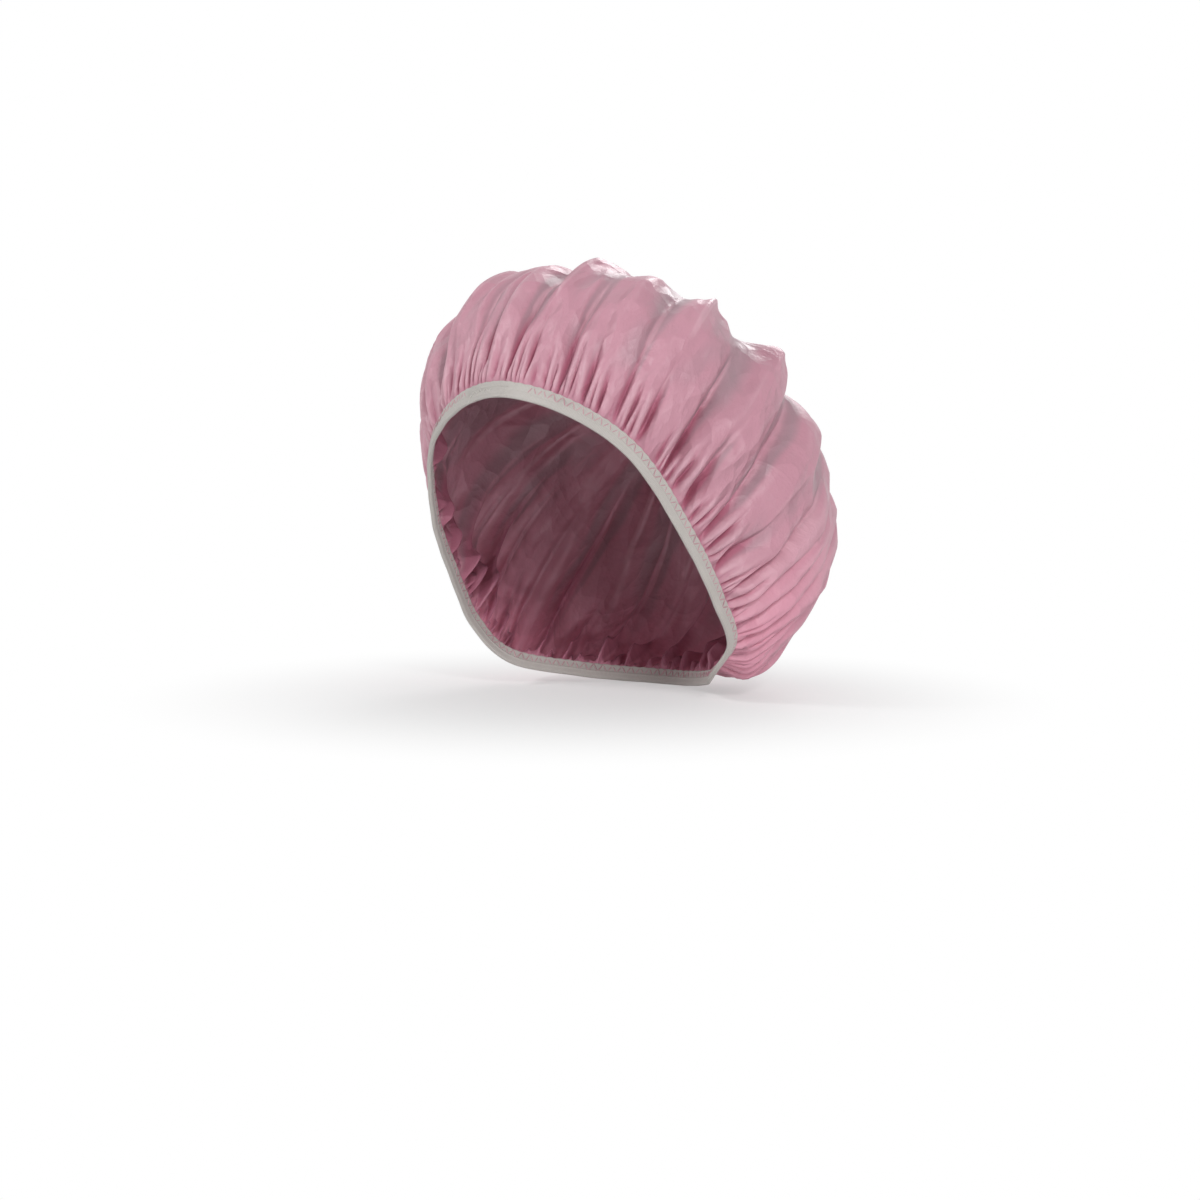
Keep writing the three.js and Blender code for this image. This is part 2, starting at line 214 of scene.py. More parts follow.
def scallop(turn):
    """A row of rounded folds with a narrow crease between them, about its own mean."""
    bow = np.sqrt(np.sin(turn / 2) ** 2 + CREASE_ROUND**2) - CREASE_ROUND
    return (bow / (np.sqrt(1 + CREASE_ROUND**2) - CREASE_ROUND)) ** CREST_FLAT - SCALLOP_MEAN


def tents(turn):
    """A row of narrow ridges with the film drawn flat between them: the same, turned over."""
    return -scallop(turn - np.pi)


def fold_room(curve):
    """Share of the folds' depth where the curve's points, and so the folds, are close together."""
    step = 0.5 / FOLDS
    parameter = np.linspace(-1, 2, 3 * len(reached) - 2)
    length = np.interp((curve + step, curve - step), parameter, LENGTHS)
    return np.minimum(1, (length[0] - length[1]) / (2 * step * OPENING_LENGTH)) ** ROOM_POWER


# The film's own creases: hollow cells, drawn out along the folds, that meet in sharp ridges
CREASE_CELLS, CREASE_SEED = 190, 3
CREASE_SLOPE, CELL_STRETCH, CELL_ROUND, CELL_MEAN = 0.42, 2.5, 3 * MM, 9 * MM
CROWN_GIRTH, GIRTH_RISE = 700 * MM, 1.3
CREASE_RISE, CREASE_FADE = (0.05, 0.3), (0.82, 0.95)


def crease_heights(share, place):
    cells = np.random.default_rng(CREASE_SEED).random((CREASE_CELLS, 2))
    nearest = np.full(len(share), np.inf)
    girth = CROWN_GIRTH * np.minimum(1, GIRTH_RISE * place)
    for cell_share, cell_area in cells:
        around = (np.mod(share - cell_share + 0.5, 1) - 0.5) * girth
        out = (place - np.sqrt(cell_area)) * FILM_RADIUS / CELL_STRETCH
        nearest = np.minimum(nearest, around**2 + out**2)
    heights = CREASE_SLOPE * (np.sqrt(nearest + CELL_ROUND**2) - CELL_MEAN)
    return heights * ease(place, *CREASE_RISE) * (1 - ease(place, *CREASE_FADE))


def fold_heights(share, place):
    """Heights of the pleats that the seam holds, and of the folds and creases of the free film."""
    curve = part_of_curve(share)
    wandered = curve + WIDTH_SWAY * wave(curve, 21, 2) + WIDTH_JITTER * wave(curve, 47, 3)
    turn = TURN * FOLDS * wandered
    pleats = scallop(4 * turn + PLEAT_DRIFT * wave(curve, 31, 4)) * uneven(curve, 29, 5)
    pleats = PLEAT_DEPTH * pleats * np.exp(-(((1 - place) / PLEAT_REACH) ** 2))
    tucks = scallop(2 * turn + TUCK_DRIFT * wave(curve, 17, 7))
    tucks = tucks * uneven(curve, 19, 8, FOLD_SLIGHTEST)
    tucks = TUCK_DEPTH * tucks * np.exp(-(((place - TUCK_AT) / TUCK_REACH) ** 2))
    folds = scallop(turn) * uneven(curve, 7, 11, FOLD_SLIGHTEST) * fold_room(curve)
    forward = np.cos(TURN * curve)
    start = FOLD_START + FORWARD_START * forward + FOLD_START_RANGE * wave(curve, 9, 21)
    folds = FOLD_DEPTH * folds * ease(place, start, FOLD_FULL)
    folds = folds * (1 - FOLD_LOST * ease(place, *FOLD_FADE))
    shallow = 1 - FORWARD_SHALLOW * np.maximum(0, forward)
    puffs = PUFF_DEPTH * (tents(turn / 2) * uneven(curve, 3, 15)) * ease(place, *PUFF_RISE)
    puffs = puffs * (1 - PUFF_LOST * ease(place, *PUFF_FADE))
    swells = SWELL_DEPTH * (tents(turn / 4) * uneven(curve, 3, 17)) * ease(place, *SWELL_RISE)
    swells = swells * (1 - ease(place, *SWELL_FADE))
    bags = np.exp(-(((np.abs(curve - 0.5) - BAG_FROM_NAPE) / BAG_SPREAD) ** 2))
    bags = NAPE_BAG * bags * ease(place, *BAG_RISE) * (1 - ease(place, *BAG_FADE))
    in_seam = np.clip(SEAM_GIVES + (1 - place) / SEAM_REACH, 0, 1)
    free = folds * shallow + puffs + swells + bags + crease_heights(share, place)
    return (pleats + tucks * shallow) * in_seam, free


# The sheet: rings of points on a flat disc, halved in number each time the ring is half as wide
FILM_TUCK = 5 * MM  # the edge that the elastic holds
RING_STEP = 2.8 * MM
RIM_POINTS = 960
FINE_ZONE = 0.8  # share of the radius outside which the rings have all their points
FEWEST_POINTS = 15
INNERMOST = 0.6  # of a step, the least radius of a ring
ROUNDING = 1e-6


def points_on_ring(radius):
    count, limit = RIM_POINTS, FINE_ZONE * FILM_RADIUS
    while radius <= limit and count > FEWEST_POINTS:
        count, limit = count // 2, limit / 2
    return count


ring_radii = np.arange(FILM_RADIUS, INNERMOST * RING_STEP, -RING_STEP)[::-1]
ring_counts = [points_on_ring(radius) for radius in ring_radii]
ring_starts = np.cumsum([1, *ring_counts])
share = np.concatenate([[0], *(np.arange(count) / count for count in ring_counts)])
radius = np.concatenate([[0], *(np.full(count, r) for r, count in zip(ring_radii, ring_counts))])
flat = np.stack([radius * np.cos(TURN * share), radius * np.sin(TURN * share)], -1)

film_faces = [(0, 1 + (side + 1) % ring_counts[0], 1 + side) for side in range(ring_counts[0])]
for ring in range(len(ring_counts) - 1):
    inner, outer = ring_starts[ring], ring_starts[ring + 1]
    count = ring_counts[ring]
    for side in range(count):
        here, there = inner + side, inner + (side + 1) % count
        if ring_counts[ring + 1] == count:
            film_faces.append((here, there, outer + (side + 1) % count, outer + side))
        else:
            first, second, third = (outer + (2 * side + step) % (2 * count) for step in range(3))
            film_faces += [(here, second, first), (here, there, second), (there, third, second)]

place = np.clip(radius / (FILM_RADIUS - FILM_TUCK), 0, 1)
mean_points, way_out = crown_point(share, place)
pleat_height, fold_height = fold_heights(share, place)
middle, along, outward, crownward = opening_frame(share)
lean = FOLD_LEAN * wave(part_of_curve(share), 1, 0)
fold_height = fold_height * (place < 1)
worn = mean_points + way_out * (pleat_height + fold_height)[:, None]
worn = worn + along * (lean * fold_height)[:, None]
held = radius > FILM_RADIUS - FILM_TUCK - ROUNDING
worn[held] = (middle + crownward * (FILM_RADIUS - radius)[:, None])[held]

film_mesh = bpy.data.meshes.new("crown_sheet")
film_mesh.from_pydata(worn.tolist(), [], film_faces)
film = bpy.data.objects.new("crown_sheet", film_mesh)
bpy.context.collection.objects.link(film)
film_uv = film_mesh.uv_layers.new(name="cut")
corners = np.empty(len(film_mesh.loops), int)
film_mesh.loops.foreach_get("vertex_index", corners)
film_uv.data.foreach_set("uv", (flat / (2 * FILM_RADIUS) + 0.5)[corners].ravel())

# It settles with air under it, held fast at the seam, over a rounded form well inside the crown
PRESSURE = 0.4
SLACK_GRIP = 0.75  # how far the crown keeps its folds, where next to the seam they are held fast
GRIP_RISE = (0.7, 0.92)  # places between which that hold rises
SETTLE_FRAMES = 14
FORM_CENTRE, FORM_HALF = (0, 12 * MM, 12 * MM), (70 * MM, 82 * MM, 100 * MM)
film.shape_key_add(name="worn")
cut = film.shape_key_add(name="cut")
cut.data.foreach_set("co", np.column_stack([flat, np.zeros(len(flat))]).ravel())
cut.value = 0
grip = film.vertex_groups.new(name="grip")
hold = SLACK_GRIP + (1 - SLACK_GRIP) * ease(place, *GRIP_RISE)
for index, weight in enumerate(hold):
    grip.add([index], weight, "REPLACE")
bpy.ops.mesh.primitive_uv_sphere_add(segments=64, ring_count=32, location=FORM_CENTRE)
form = bpy.context.object
form.scale = FORM_HALF
form.modifiers.new("form", "COLLISION")
form.collision.thickness_outer = 2 * MM
cloth = film.modifiers.new("settle", "CLOTH")
cloth.settings.quality = 6
cloth.settings.mass = 0.05
cloth.settings.tension_stiffness, cloth.settings.compression_stiffness = 80, 4
cloth.settings.shear_stiffness = 20
cloth.settings.bending_stiffness = 0.05
cloth.settings.rest_shape_key = cut
cloth.settings.vertex_group_mass = "grip"
cloth.settings.use_pressure = True
cloth.settings.uniform_pressure_force = PRESSURE
cloth.settings.effector_weights.gravity = 0.05
cloth.collision_settings.distance_min = 1 * MM
cloth.collision_settings.use_self_collision = False
cloth.point_cache.frame_end = SETTLE_FRAMES
for step in range(1, SETTLE_FRAMES + 1):
    bpy.context.scene.frame_set(step)
settled = film.evaluated_get(bpy.context.evaluated_depsgraph_get()).data.vertices
settled_points = np.empty(3 * len(flat))
settled.foreach_get("co", settled_points)
settled_points = settled_points.reshape(-1, 3)
bpy.data.objects.remove(form)
film.modifiers.remove(cloth)
film.shape_key_clear()
film_mesh.vertices.foreach_set("co", settled_points.ravel())
bpy.context.scene.frame_set(1)

# How far the film stands off the mean of its folds, and how sharply it is bent, on each ring.
# Towards the nape and the seam, light comes through a single clear layer.
LIFT_SPAN, TUCK_SPAN, BEND_SPAN = 1.5 / FOLDS, 0.5 / FOLDS, 0.3 / FOLDS  # shares of the loop
LIFT_FULL, TUCK_FULL, BEND_FULL = 5 * MM, 2 * MM, 0.8 * MM
CLEAR_BACK, CLEAR_RISE = (-0.2, 0.4), (0.6, 0.9)
FILM_WALL = 0.2 * MM


def off_mean(span):
    """Each point of the film less the mean of its ring within the span on either side."""
    off = np.zeros_like(settled_points)
    for start, count in zip(ring_starts, ring_counts):
        ring = settled_points[start : start + count]
        reach = max(1, round(span * count))
        kernel = np.hanning(2 * reach + 3)[1:-1]
        around = np.concatenate([ring[-reach:], ring, ring[:reach]])
        mean = [np.convolve(around[:, axis], kernel / kernel.sum(), "valid") for axis in range(3)]
        off[start : start + count] = ring - np.stack(mean, -1)
    return off


# These lay painted highlight and painted shade into the film's colour, and clear lays in painted
# backlight.
lift = (off_mean(LIFT_SPAN) * way_out).sum(-1) / LIFT_FULL
bend = np.linalg.norm(off_mean(BEND_SPAN), axis=-1) / BEND_FULL
tucked = (off_mean(TUCK_SPAN) * way_out).sum(-1) / TUCK_FULL
clear = ease(-np.cos(TURN * part_of_curve(share)), *CLEAR_BACK) * ease(place, *CLEAR_RISE)
looks = {"lift": lift, "tucked": tucked, "bend": bend, "place": place, "clear": clear}
for name, values in looks.items():
    film_mesh.attributes.new(name, "FLOAT", "POINT").data.foreach_set("value", values)

film_mesh.polygons.foreach_set("use_smooth", [True] * len(film_mesh.polygons))
film_wall = film.modifiers.new("wall", "SOLIDIFY")
film_wall.thickness = FILM_WALL
film_wall.offset = -1
bpy.context.view_layer.objects.active = film
bpy.ops.object.modifier_apply(modifier="wall")


class Thread:
    """A socket in a material's nodes. Operators on it add the nodes that work them out."""

    def __init__(self, tree, socket=None):
        self.tree, self.socket = tree, socket

    def node(self, kind, settings, sockets, output=0):
        made = self.tree.nodes.new(kind)
        for name, value in settings.items():
            if name == "stops":
                stops = made.color_ramp.elements
                while len(stops) < len(value):
                    stops.new(1)
                for stop, (position, color) in zip(stops, value):
                    stop.position, stop.color = position, color
            else:
                setattr(made, name, value)
        for key, value in sockets.items():
            if isinstance(value, Thread):
                self.tree.links.new(value.socket, made.inputs[key])
            else:
                made.inputs[key].default_value = value
        return Thread(self.tree, made.outputs[output])

    def math(self, operation, *values):
        return self.node("ShaderNodeMath", {"operation": operation}, dict(enumerate(values)))

    def __add__(self, other):
        return self.math("ADD", self, other)

    def __sub__(self, other):
        return self.math("SUBTRACT", self, other)

    def __mul__(self, other):
        return self.math("MULTIPLY", self, other)

    def __radd__(self, other):
        return self.math("ADD", other, self)

    def __rsub__(self, other):
        return self.math("SUBTRACT", other, self)

    def __rmul__(self, other):
        return self.math("MULTIPLY", other, self)

    def between(self, low, high):
        """0 below low, 1 above high, and a smooth rise from one to the other."""
        sockets = {"Value": self, "From Min": low, "From Max": high}
        return self.node("ShaderNodeMapRange", {"interpolation_type": "SMOOTHSTEP"}, sockets)

    def blend(self, first, second):
        """The first colour where this is 0 and the second where it is 1."""
        sockets = {"Factor": self, 6: first, 7: second}
        return self.node("ShaderNodeMix", {"data_type": "RGBA"}, sockets, 2)


def new_finish(name):
    """A material with its Principled shader, and a start for its nodes."""
    material = bpy.data.materials.new(name)
    material.use_nodes = True
    return material, material.node_tree.nodes["Principled BSDF"], Thread(material.node_tree)


def noise(nodes, vector, scale, detail=2.0):
    sockets = {"Vector": vector, "Scale": scale, "Detail": detail}
    return nodes.node("ShaderNodeTexNoise", {}, sockets)


def attribute(nodes, name):
    return nodes.node("ShaderNodeAttribute", {"attribute_name": name}, {}, "Fac")


def object_place(nodes):
    return nodes.node("ShaderNodeTexCoord", {}, {}, "Object")


def feed(shader, **links):
    for name, value in links.items():
        shader.id_data.links.new(value.socket, shader.inputs[name.replace("_", " ")])


FILM_PINK_LIT = (0.60, 0.295, 0.37, 1)  # raised folds, where two layers are seen, painted lighter as a painted highlight
FILM_MAUVE_SHADED = (0.43, 0.265, 0.31, 1)  # flat, recessed panels, painted greyer and darker as painted shade
FILM_ROSE_SHADE = (0.52, 0.19, 0.27, 1)  # painted shade in creases and tucks next to the seam, and in recessed film
FILM_RIDGE_HIGHLIGHT = (0.70, 0.41, 0.48, 1)  # painted highlight on sharp ridges
FILM_BRIGHT = (0.79, 0.35, 0.46, 1)  # where light comes through
film_look, film_shader, nodes = new_finish("pink_vinyl")
cut_uv = nodes.node("ShaderNodeUVMap", {"uv_map": "cut"}, {})
stands_off = attribute(nodes, "lift")
bent = attribute(nodes, "bend")
tucked_in = attribute(nodes, "tucked")
lit_through = attribute(nodes, "clear")
near_seam = attribute(nodes, "place")
cloudy = noise(nodes, cut_uv, 9.0)
# Painted light: film standing off its panels and sharp bends is painted lighter pink, recessed
# panels darker mauve, with a random cloudy tone mixed in.
folded = (bent * 0.3 + cloudy * 0.6 + stands_off).between(-0.05, 0.65)
color_with_painted_light = folded.blend(FILM_MAUVE_SHADED, FILM_PINK_LIT)
# Painted highlight: the sharpest bends are painted pale.
color_with_painted_light = (0.7 * bent.between(0.5, 1.6)).blend(color_with_painted_light, FILM_RIDGE_HIGHLIGHT)
color_with_painted_light = (0.8 * lit_through).blend(color_with_painted_light, FILM_BRIGHT)
# Painted shade: creases of the tucks next to the seam, and recessed film, are painted dark rose.
seam_crease_shade = near_seam.between(0.8, 1.0) * (0.5 - 0.7 * tucked_in)
painted_crease_shade = (seam_crease_shade - stands_off * 0.4).between(0.1, 0.9)
feed(film_shader, Base_Color=painted_crease_shade.blend(color_with_painted_light, FILM_ROSE_SHADE))
feed(film_shader, Roughness=0.34 + 0.16 * noise(nodes, cut_uv, 30.0))
CELL_SWAY = 0.6  # of a cell's width, how far its edges wander


def crumple(scale):
    """Flat cells that meet in sharp edges, on the film as it was cut."""
    sway = nodes.node("ShaderNodeTexNoise", {}, {"Vector": cut_uv, "Scale": scale / 3}, 1)
    sockets = {0: sway, 1: (CELL_SWAY / scale, CELL_SWAY / scale, 0), 2: cut_uv}
    moved = nodes.node("ShaderNodeVectorMath", {"operation": "MULTIPLY_ADD"}, sockets)
    return nodes.node("ShaderNodeTexVoronoi", {}, {"Vector": moved, "Scale": scale})


crinkle = 0.9 * crumple(12.0) + 0.35 * crumple(36.0) + 0.08 * noise(nodes, cut_uv, 120.0, 3.0)
bump = {"Strength": 1.0, "Distance": 6 * MM, "Height": crinkle}
feed(film_shader, Normal=nodes.node("ShaderNodeBump", {}, bump))
film_shader.inputs["Specular IOR Level"].default_value = 0.45
film_mesh.materials.append(film_look)
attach(film, "root")
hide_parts("crown_film")

# Elastic band
# A knitted off-white tape, folded lengthways over the film's gathered edge, with a raised line
# along its middle. Its outer leaf runs on over the joint at the front, where it is tacked down.
BAND_WIDTH = 8 * MM
BAND_FACE = 1.1 * MM  # from the film's middle to the tape's face
LEAF = 0.7 * MM
STITCH_LENGTH = 2.5 * MM
RIDGE_AT, RIDGE_HEIGHT, RIDGE_WIDTH = -0.3 * MM, 0.3 * MM, 0.36 * MM
SEAM_AT, SEAM_WIDTH, SEAM_SINK = 1.6 * MM, 3 * MM, 0.16 * MM
BAND_STATIONS = 1188
SPLICE_GAP = 0.3 * MM
LEAF_CORNER = 0.35 * MM
FACE_POINTS = 21  # across the tape's face
PUCKER_SWAY = 0.35  # how much deeper the seam sinks at each stitch
SLACK = 0.1 * MM  # how far the tape lies off its line
SCALLOPED_EDGE = 0.16 * MM  # how far each stitch draws the leaves' edges


def folded_section():
    """Across the folded tape: out of the film's plane, and up towards the crown."""
    half, slot = BAND_WIDTH / 2, BAND_FACE - LEAF
    turn = np.radians(np.linspace(180, 360, 9))
    fold = [(BAND_FACE * np.cos(a), BAND_FACE * (1 + np.sin(a)) - half) for a in turn]
    tip = [(BAND_FACE, half - LEAF_CORNER), (BAND_FACE - 0.12 * MM, half - 0.06 * MM)]
    tip += [(BAND_FACE - LEAF / 2, half), (slot, half - 0.1 * MM)]
    levels = np.linspace(BAND_FACE - half, half - LEAF_CORNER, FACE_POINTS)[1:-1]
    outer = [(BAND_FACE, up) for up in levels] + tip
    floor = [(slot, LEAF - half + 0.3 * MM), (-slot, LEAF - half + 0.3 * MM)]
    inner = [(-out, up) for out, up in outer[::-1]]
    return np.array(fold + outer + floor + inner)


def along_band(length, out, up):
    middle, _, outward, crownward = opening_frame(np.asarray(length) / OPENING_LENGTH)
    return middle + outward * np.asarray(out)[..., None] + crownward * np.asarray(up)[..., None]


def swept_mesh(name, rings, length):
    """Rings of points joined along, a face on each end, and a UV map of metres along and around."""
    stations, sides = rings.shape[:2]
    near = np.arange(stations - 1)[:, None] * sides + np.arange(sides)
    nearer = np.arange(stations - 1)[:, None] * sides + (np.arange(sides) + 1) % sides
    quads = np.stack([near, nearer, nearer + sides, near + sides], -1).reshape(-1, 4)
    last = (stations - 1) * sides
    caps = [tuple(range(sides))[::-1], tuple(last + side for side in range(sides))]
    mesh = bpy.data.meshes.new(name)
    mesh.from_pydata(rings.reshape(-1, 3).tolist(), [], quads.tolist() + caps)
    around = np.arange(sides + 1) / sides
    on = length * np.arange(stations) / (stations - 1)
    side = np.tile(np.arange(sides), stations - 1)
    station = np.repeat(np.arange(stations - 1), sides)
    uv = np.zeros((len(mesh.loops), 2))
    pairs = [(0, 0), (0, 1), (1, 1), (1, 0)]
    uv[: 4 * len(quads)] = np.stack(
        [np.stack([on[station + a], around[side + b]], -1) for a, b in pairs], 1
    ).reshape(-1, 2)
    mesh.uv_layers.new(name="tape").data.foreach_set("uv", uv.ravel())
    mesh.polygons.foreach_set("use_smooth", [True] * len(mesh.polygons))
    return mesh


def band_rings():
    section = folded_section()
    length = np.linspace(0, OPENING_LENGTH - SPLICE_GAP, BAND_STATIONS)[:, None]
    out, up = section[None, :, 0], section[None, :, 1]
    side = np.sign(out)
    on_face = np.abs(out) > BAND_FACE - 0.05 * MM
    ridge = RIDGE_HEIGHT * np.exp(-(((up - RIDGE_AT) / RIDGE_WIDTH) ** 2))
    in_seam = np.exp(-(((up - SEAM_AT) / (SEAM_WIDTH / 2)) ** 4))
    stitch = TURN * length / STITCH_LENGTH
    pucker = SEAM_SINK * in_seam * (1 + PUCKER_SWAY * np.cos(stitch + 2 * up / MM))
    slack = SLACK * (np.sin(length / (7.3 * MM)) + np.sin(length / (3.1 * MM) + 1))
    out = out + side * on_face * (ridge - pucker) + slack
    tips = ease(up, 2.6 * MM, 4 * MM)
    up = up + tips * SCALLOPED_EDGE * np.cos(stitch / 2 * np.ones_like(up))
    return along_band(length * np.ones_like(out), out, up)


LAP_LENGTH, LAP_RAMP, LAP_SKEW = 20 * MM, 7 * MM, 1 * MM
LAP_RIDGES = 3.4 * MM  # from one raised line to the other
LAP_STATIONS = 90
LAP_CORNER = 0.25 * MM
LAP_CLEAR = 0.12 * MM  # between the lap and the face that it lies on


def lap_rings():
    """The outer leaf carried on over the joint: flat, and sinking into its own leaf past it."""
    half, thick = BAND_WIDTH / 2 - 0.05 * MM, LEAF
    flat_up = np.linspace(-half + LAP_CORNER, half - LAP_CORNER, 24)
    top = [(thick, up) for up in flat_up] + [(thick - LAP_CORNER / 3, half - LAP_CORNER / 3)]
    rest = [(thick - LAP_CORNER, half), (LAP_CORNER, half), (0, half - LAP_CORNER)]
    under = [(0, LAP_CORNER - half), (LAP_CORNER, -half), (thick - LAP_CORNER, -half)]
    section = np.array(top + rest + under + [(thick - LAP_CORNER / 3, LAP_CORNER / 3 - half)])
    length = np.linspace(-LAP_LENGTH, LAP_RAMP, LAP_STATIONS)[:, None]
    down = ease(length, 0, LAP_RAMP)
    skew = LAP_SKEW * np.clip(-length / LAP_LENGTH, 0, 1)
    out, up = section[None, :, 0], section[None, :, 1]
    upper = out > thick / 2
    off_tack = np.abs(up - RIDGE_AT) - LAP_RIDGES / 2
    ridge = upper * 1.3 * RIDGE_HEIGHT * np.exp(-((off_tack / RIDGE_WIDTH) ** 2))
    tacked = upper * 0.14 * MM * np.exp(-((up / (0.9 * MM)) ** 2)) * (length < 0)
    lie = BAND_FACE + LAP_CLEAR - 2 * LEAF * down
    out = lie + out + ridge - tacked
    up = (up * (1 - 0.03 * down)) - skew + 0.12 * MM * np.sin(length / (2.7 * MM))
    return along_band(length * np.ones_like(out), out, up)


band_mesh = swept_mesh("fold_over_band", band_rings(), OPENING_LENGTH)
band = bpy.data.objects.new("fold_over_band", band_mesh)
lap = bpy.data.objects.new("lap", swept_mesh("lap", lap_rings(), LAP_LENGTH + LAP_RAMP))
for tape in (band, lap):
    bpy.context.collection.objects.link(tape)
bpy.ops.object.select_all(action="DESELECT")
lap.select_set(True)
band.select_set(True)
bpy.context.view_layer.objects.active = band
bpy.ops.object.join()

TAPE_WHITE = (0.63, 0.60, 0.565, 1)
TAPE_SHADE = (0.46, 0.425, 0.40, 1)
KNIT_PITCH = 0.7 * MM
KNIT_RIBS = 34  # round the folded tape
band_look, band_shader, nodes = new_finish("knitted_elastic")
tape_uv = nodes.node("ShaderNodeUVMap", {"uv_map": "tape"}, {})
tape_along = nodes.node("ShaderNodeSeparateXYZ", {}, {"Vector": tape_uv}, "X")
tape_around = nodes.node("ShaderNodeSeparateXYZ", {}, {"Vector": tape_uv}, "Y")
course = tape_along * (TURN / KNIT_PITCH)
wale = tape_around * (TURN * KNIT_RIBS)
knit = course.math("SINE", course + 1.2 * wale.math("SINE", wale))
rib = wale.math("COSINE", wale)
loops = 0.5 + 0.25 * knit + 0.25 * rib
object_at = object_place(nodes)
fuzz = noise(nodes, object_at, 900.0, 3.0)
mottle = noise(nodes, object_at, 60.0)
tone = (0.55 * loops + 0.25 * fuzz + 0.35 * mottle).between(0.15, 0.9)
feed(band_shader, Base_Color=tone.blend(TAPE_SHADE, TAPE_WHITE))
feed(band_shader, Roughness=0.8 + 0.15 * fuzz)
bump = {"Strength": 0.7, "Distance": 0.15 * MM, "Height": loops + 0.3 * fuzz}
feed(band_shader, Normal=nodes.node("ShaderNodeBump", {}, bump))
band_shader.inputs["Sheen Weight"].default_value = 0.15
band.data.materials.append(band_look)
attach(band, "root")
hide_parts("elastic_band")

# Needle thread
# Fine dusty pink polyester, laid in a zigzag on the outer leaf near its edge. Each turn of the
# zigzag goes down through the tape and the film, and is drawn a little into the knit.
THREAD_RADIUS = 0.26 * MM
STITCH_RUN = 0.8 * MM
STITCH_CREST = 0.1 * MM
TURN_SINK = 0.12 * MM
SEAM_START, SEAM_END = 14 * MM, 22.5 * MM  # from the splice, and back from it
LEG_STEPS = 5


def zigzag(start, end, pitch, width, middle):
    """Path of a zigzag in length and up, with how far along its leg each point is."""
    count = int((end - start - STITCH_RUN) / pitch)
    path = []
    for leg in range(count):
        side = 1 if leg % 2 else -1
        low, high = start + leg * pitch + STITCH_RUN, start + (leg + 1) * pitch
        for step in range(LEG_STEPS + 1):
            share = step / LEG_STEPS
            path.append((low + share * (high - low), middle + side * width * (0.5 - share), share))
    return np.array(path)


def sewn_thread(name, path, level, facing):
    """A round thread along the path, arched over each leg and sunk at each turn."""
    at_turn = path[:, 2] % 1 == 0
    arch = STITCH_CREST * np.sin(np.pi * path[:, 2]) ** 0.5 - TURN_SINK * at_turn
    points = along_band(path[:, 0], facing * (level + arch), path[:, 1])
    curve = bpy.data.curves.new(name, "CURVE")
    curve.dimensions = "3D"
    curve.bevel_depth, curve.bevel_resolution = THREAD_RADIUS, 1
    curve.use_fill_caps = True
    spline = curve.splines.new("POLY")
    spline.points.add(len(points) - 1)
    spline.points.foreach_set("co", np.column_stack([points, np.ones(len(points))]).ravel())
    thread = bpy.data.objects.new(name, curve)
    bpy.context.collection.objects.link(thread)
    bpy.ops.object.select_all(action="DESELECT")
    thread.select_set(True)
    bpy.context.view_layer.objects.active = thread
    bpy.ops.object.convert(target="MESH")
    bpy.ops.object.shade_smooth()
    return bpy.context.object


def thread_look(name, light, dark):
    look, shader, nodes = new_finish(name)
    object_at = object_place(nodes)
    fibre = noise(nodes, object_at, 2500.0, 2.0)
    worn_tone = (noise(nodes, object_at, 140.0) + 0.4 * fibre).between(0.35, 0.95)
    feed(shader, Base_Color=worn_tone.blend(dark, light))
    feed(shader, Roughness=0.6 + 0.25 * fibre)
    bump = {"Strength": 0.6, "Distance": 0.08 * MM, "Height": fibre}
    feed(shader, Normal=nodes.node("ShaderNodeBump", {}, bump))
    return look


seam_path = zigzag(SEAM_START, OPENING_LENGTH - SEAM_END, STITCH_LENGTH, SEAM_WIDTH, SEAM_AT)
DUSTY_PINK, DUSTY_SHADE = (0.64, 0.39, 0.43, 1), (0.50, 0.27, 0.32, 1)
seam_look = thread_look("dusty_pink_thread", DUSTY_PINK, DUSTY_SHADE)
needle_thread = sewn_thread("needle_zigzag", seam_path, BAND_FACE - SEAM_SINK, 1)
needle_thread.data.materials.append(seam_look)
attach(needle_thread, "root")
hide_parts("needle_thread")

# Bobbin thread
# The same thread from below: it lies in the same zigzag on the inner leaf, out of sight, and is
# locked with the needle thread inside the tape.
bobbin_thread = sewn_thread("bobbin_zigzag", seam_path, BAND_FACE - SEAM_SINK, -1)
bobbin_thread.data.materials.append(seam_look)
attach(bobbin_thread, "root")
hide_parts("bobbin_thread")

# Splice thread
# A short narrow tack in off-white thread that holds the tape's lapped end down at the front, with
# its end left hanging below the lap.
TACK_PITCH, TACK_WIDTH, TACK_AT = 2 * MM, 1.4 * MM, -0.4 * MM
THREAD_WHITE, THREAD_SHADE = (0.72, 0.70, 0.66, 1), (0.52, 0.49, 0.46, 1)
tack_path = zigzag(TACK_PITCH - LAP_LENGTH, -TACK_PITCH, TACK_PITCH, TACK_WIDTH, TACK_AT)
tail = [(-0.9, -4.9), (-0.5, -4.2), (0.4, -2.6), (1.3, -1.5)]
tail = [(step * MM - LAP_LENGTH, up * MM, 0.5) for step, up in tail]
tack_level = BAND_FACE + LEAF + LAP_CLEAR
splice_thread = sewn_thread("splice_tack", np.vstack([tail, tack_path]), tack_level, 1)
splice_look = thread_look("off_white_thread", THREAD_WHITE, THREAD_SHADE)
splice_thread.data.materials.append(splice_look)
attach(splice_thread, "root")
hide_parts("splice_thread")

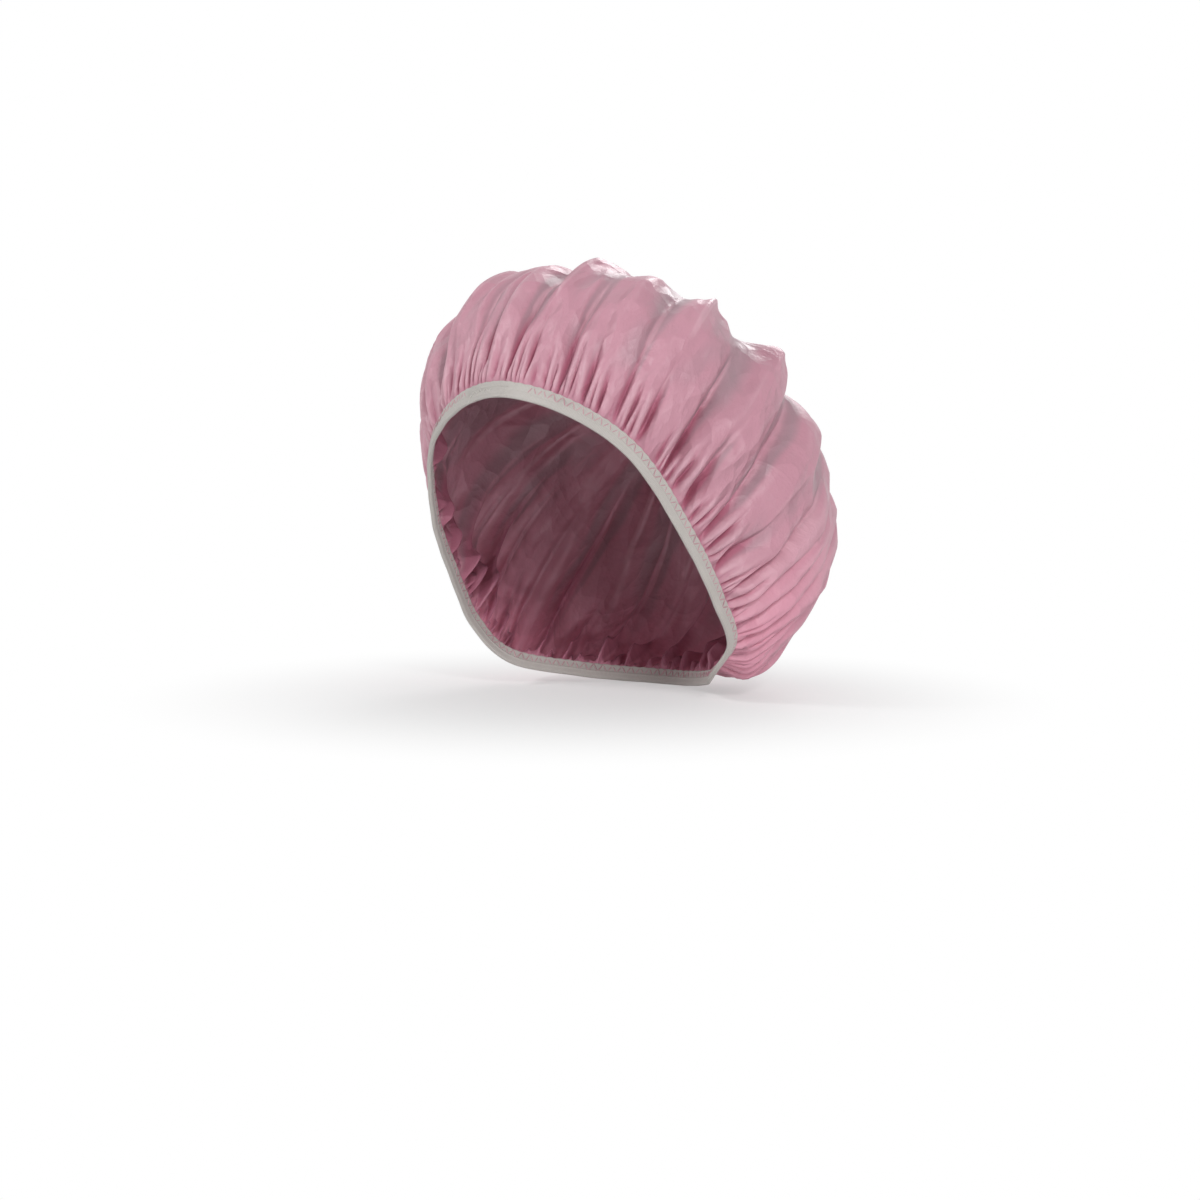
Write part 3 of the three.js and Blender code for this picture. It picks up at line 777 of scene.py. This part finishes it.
# Studio
# A plain white floor just under the cap's lowest folds, a white surround, and soft light from both
# sides of the camera, from low on its right and from behind.
low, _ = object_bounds()
FLOOR_SIZE, FLOOR_GAP = 8, 0.5 * MM
SHADOW_ZONE = (0.08, 0.26)  # from the middle, where the floor's shadow fades into plain white
LEAST_WHITE = 0.4
LOOKING = ("Is Camera Ray", "Is Glossy Ray", "Is Transmission Ray")


def looked_at(nodes):
    """1 for what is seen, also in a reflection, and 0 for what only lights the cap."""
    rays = [nodes.node("ShaderNodeLightPath", {}, {}, ray) for ray in LOOKING]
    return nodes.math("MINIMUM", rays[0] + rays[1] + rays[2], 1)


bpy.ops.object.select_all(action="DESELECT")
bpy.ops.mesh.primitive_plane_add(size=FLOOR_SIZE, location=(0, 0, low.z - FLOOR_GAP))
floor = bpy.context.object
floor.name = "floor"
bpy.ops.object.transform_apply(location=True)
floor_look, floor_shader, nodes = new_finish("white_floor")
floor_shader.inputs["Base Color"].default_value = (0.9, 0.9, 0.9, 1)
floor_shader.inputs["Roughness"].default_value = 0.9
floor_shader.inputs["Specular IOR Level"].default_value = 0
object_at = object_place(nodes)
away = nodes.node("ShaderNodeVectorMath", {"operation": "LENGTH"}, {0: object_at}, 1)
white = nodes.node("ShaderNodeEmission", {}, {"Color": (1, 1, 1, 1), "Strength": 1})
plain = Thread(nodes.tree, floor_shader.outputs[0])
far = away.between(*SHADOW_ZONE)
share_white = looked_at(nodes) * (LEAST_WHITE + (1 - LEAST_WHITE) * far)
mixed = nodes.node("ShaderNodeMixShader", {}, {0: share_white, 1: plain, 2: white})
floor_output = nodes.tree.nodes["Material Output"].inputs["Surface"]
nodes.tree.links.new(mixed.socket, floor_output)
floor.data.materials.append(floor_look)

WORLD_LIGHT = 0.38
LAMPS_AIM = Vector((0, 0, 0.03))
world = bpy.data.worlds.new("surround")
bpy.context.scene.world = world
world.use_nodes = True
nodes = Thread(world.node_tree)
background = world.node_tree.nodes["Background"]
background.inputs["Color"].default_value = (1, 1, 1, 1)
strength = WORLD_LIGHT + (1 - WORLD_LIGHT) * looked_at(nodes)
world.node_tree.links.new(strength.socket, background.inputs["Strength"])


def soft_light(name, place, size, watts):
    light = bpy.data.lights.new(name, "AREA")
    light.energy, light.size = watts, size
    lamp = bpy.data.objects.new(name, light)
    bpy.context.collection.objects.link(lamp)
    lamp.location = place
    lamp.rotation_euler = (LAMPS_AIM - lamp.location).to_track_quat("-Z", "Y").to_euler()


soft_light("key", (-1.0, -1.1, 1.2), 0.35, 10)
soft_light("fill", (1.3, -1.0, 0.9), 0.35, 10)
soft_light("low", (1.4, -0.9, -0.02), 0.3, 4)
soft_light("back", (-0.4, 1.5, 0.9), 0.5, 6)

CAMERA_AZIMUTH, CAMERA_ELEVATION = np.radians(33.4), np.radians(5.5)
CAMERA_DISTANCE = 1.6
camera_back = np.array(
    (
        np.sin(CAMERA_AZIMUTH) * np.cos(CAMERA_ELEVATION),
        -np.cos(CAMERA_AZIMUTH) * np.cos(CAMERA_ELEVATION),
        np.sin(CAMERA_ELEVATION),
    )
)
camera_right = np.array((np.cos(CAMERA_AZIMUTH), np.sin(CAMERA_AZIMUTH), 0))
camera_up = np.cross(camera_back, camera_right)
aim = camera_right * 0.91 * MM - camera_up * 29.3 * MM + MM * np.array((0, 12, -3))
camera = bpy.data.objects.new("camera", bpy.data.cameras.new("camera"))
camera.data.lens, camera.data.sensor_width = 94.6, 36
bpy.context.collection.objects.link(camera)
stand = aim + camera_back * CAMERA_DISTANCE
turned = np.column_stack([camera_right, camera_up, camera_back, stand])
camera.matrix_world = Matrix([*turned.tolist(), (0, 0, 0, 1)])
bpy.context.scene.camera = camera
bpy.context.scene.view_settings.view_transform = "Standard"
